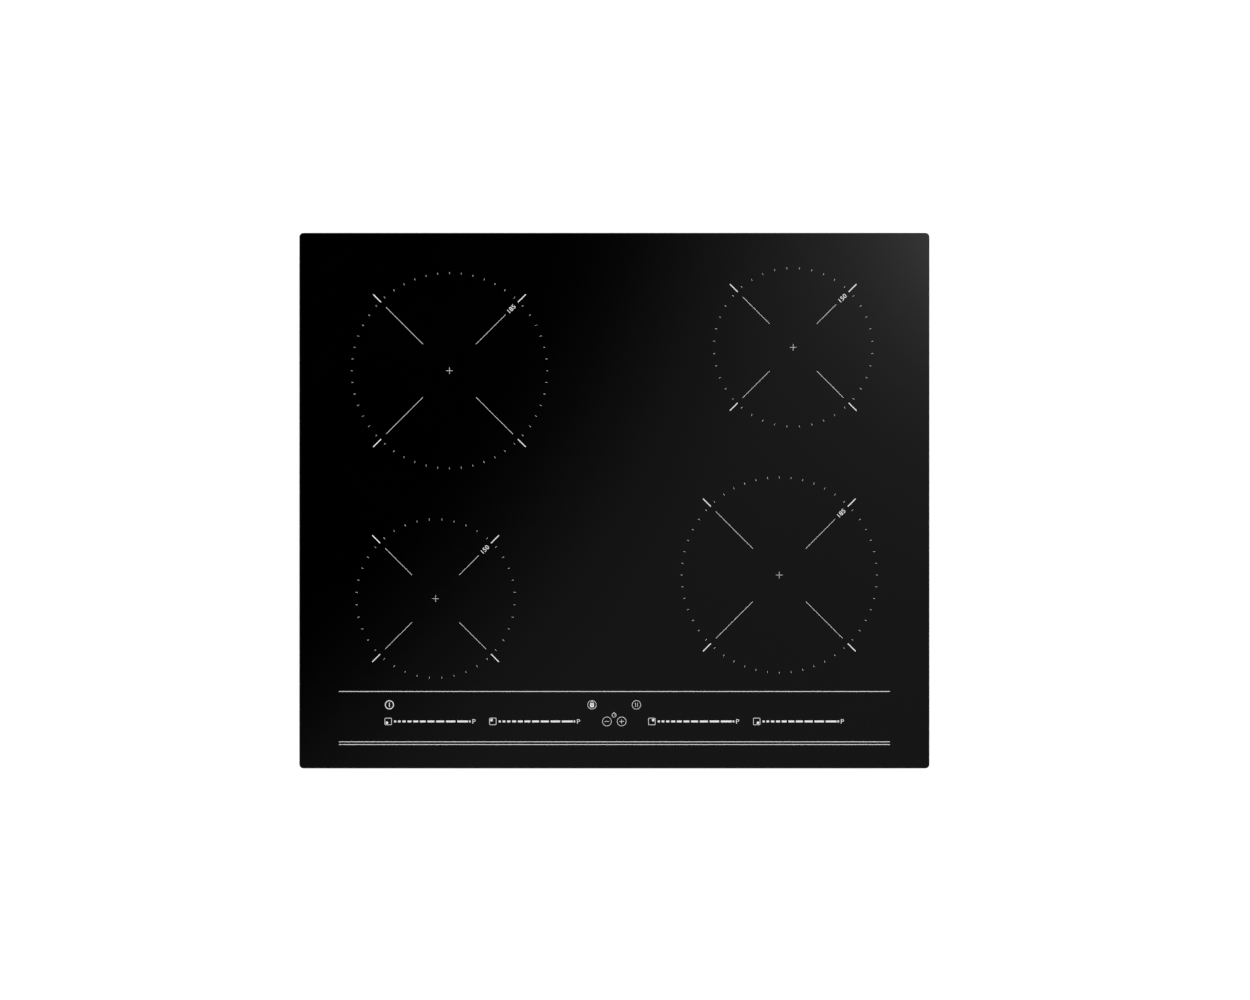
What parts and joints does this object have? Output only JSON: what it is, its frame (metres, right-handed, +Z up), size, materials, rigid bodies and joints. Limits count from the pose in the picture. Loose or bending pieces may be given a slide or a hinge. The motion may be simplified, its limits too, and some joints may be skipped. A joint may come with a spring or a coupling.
{
  "type": "induction cooktop",
  "caption": "Built-in induction cooktop: black glass plate with printed cooking zones and a touch panel, over a shallow steel casing with coils, fans, swing clamps and a terminal box.",
  "frame": {"origin": "centre of the worktop seat, on the gasket's underside", "axes": "+X to the right and +Y to the rear as the cook sees it, +Z up out of the worktop"},
  "size_m": [0.6, 0.51, 0.056],
  "materials": {
    "black_glass": "polished, opaque",
    "white_enamel": "fired screen print",
    "seal_rubber": "matte",
    "silicone": "satin",
    "black_steel": "satin black paint",
    "zinc_steel": "zinc-coated sheet",
    "screw_steel": "bright zinc plate",
    "spring_steel": "bright",
    "ferrite": "sintered, matte",
    "mica": "pressed mica sheet",
    "grey_plastic": "glass-filled plastic",
    "black_plastic": "moulded",
    "white_plastic": "moulded",
    "display_plastic": "tinted display lens",
    "capacitor_plastic": "epoxy-filled case",
    "circuit_board": "solder mask",
    "copper": "lacquered copper litz",
    "brass_spacer": "turned",
    "bush_bronze": "sintered bronze",
    "aluminium_sheet": "mill finish",
    "wire_sleeve": "silicone sleeve"
  },
  "bodies": {
    "hob": {"board_connectors": "white_plastic", "board_screws": "screw_steel", "board_spacers": "brass_spacer", "bond_bead": "silicone", "bottom_tray": "zinc_steel", "bow_springs": "spring_steel", "cable_grommet": "seal_rubber", "carrier_frame": "black_steel", "clamp_brackets": "zinc_steel", "clamp_screws": "screw_steel", "coil_former_front_left": "grey_plastic", "coil_former_front_right": "grey_plastic", "coil_former_rear_left": "grey_plastic", "coil_former_rear_right": "grey_plastic", "coil_plate_left": "aluminium_sheet", "coil_plate_right": "aluminium_sheet", "coil_winding_front_left": "copper", "coil_winding_front_right": "copper", "coil_winding_rear_left": "copper", "coil_winding_rear_right": "copper", "cord_clamp": "black_plastic", "cover_hinge_pin": "spring_steel", "display_digits": "display_plastic", "fan_bushes": "bush_bronze", "fan_housing_front": "black_plastic", "fan_housing_rear": "black_plastic", "fan_screws": "screw_steel", "ferrite_bars": "ferrite", "film_capacitors": "capacitor_plastic", "filter_chokes": "copper", "frame_screws": "screw_steel", "glass_print": "white_enamel", "glass_top": "black_glass", "heatsink_left": "aluminium_sheet", "heatsink_right": "aluminium_sheet", "insulation_discs": "mica", "power_board_left": "circuit_board", "power_board_right": "circuit_board", "power_transistors": "black_plastic", "support_towers": "grey_plastic", "temperature_sensors": "silicone", "terminal_block": "white_plastic", "terminal_box": "black_plastic", "terminal_screws": "screw_steel", "touch_board": "circuit_board", "touch_board_holder": "grey_plastic", "touch_pads": "silicone", "wire_harness": "wire_sleeve", "worktop_gasket": "seal_rubber"},
    "front_fan": {"fan_rotor_front": "black_plastic", "fan_shaft_front": "spring_steel"},
    "rear_fan": {"fan_rotor_rear": "black_plastic", "fan_shaft_rear": "spring_steel"},
    "cover": {"terminal_cover": "black_plastic"},
    "clamp_rear_left": {"clamp_arm_rear_left": "spring_steel"},
    "clamp_rear_right": {"clamp_arm_rear_right": "spring_steel"},
    "clamp_front_left": {"clamp_arm_front_left": "spring_steel"},
    "clamp_front_right": {"clamp_arm_front_right": "spring_steel"}
  },
  "joints": [
    {"name": "front_fan_spin", "type": "hinge", "parent": "hob", "child": "front_fan", "pos_m": [0, -0.075, -0.034], "axis": [0, 0, 1], "continuous": true},
    {"name": "rear_fan_spin", "type": "hinge", "parent": "hob", "child": "rear_fan", "pos_m": [0, 0.105, -0.034], "axis": [0, 0, 1], "continuous": true},
    {"name": "terminal_cover_hinge", "type": "hinge", "parent": "hob", "child": "cover", "pos_m": [0.172, 0.2382, -0.044], "axis": [-1, 0, 0], "range_deg": [0, 90]},
    {"name": "clamp_rear_left_swing", "type": "hinge", "parent": "hob", "child": "clamp_rear_left", "pos_m": [-0.276, 0.17, -0.033], "axis": [0, 0, -1], "range_deg": [0, 90]},
    {"name": "clamp_rear_right_swing", "type": "hinge", "parent": "hob", "child": "clamp_rear_right", "pos_m": [0.276, 0.17, -0.033], "axis": [0, 0, 1], "range_deg": [0, 90]},
    {"name": "clamp_front_left_swing", "type": "hinge", "parent": "hob", "child": "clamp_front_left", "pos_m": [-0.276, -0.17, -0.033], "axis": [0, 0, 1], "range_deg": [0, 90]},
    {"name": "clamp_front_right_swing", "type": "hinge", "parent": "hob", "child": "clamp_front_right", "pos_m": [0.276, -0.17, -0.033], "axis": [0, 0, -1], "range_deg": [0, 90]}
  ]
}
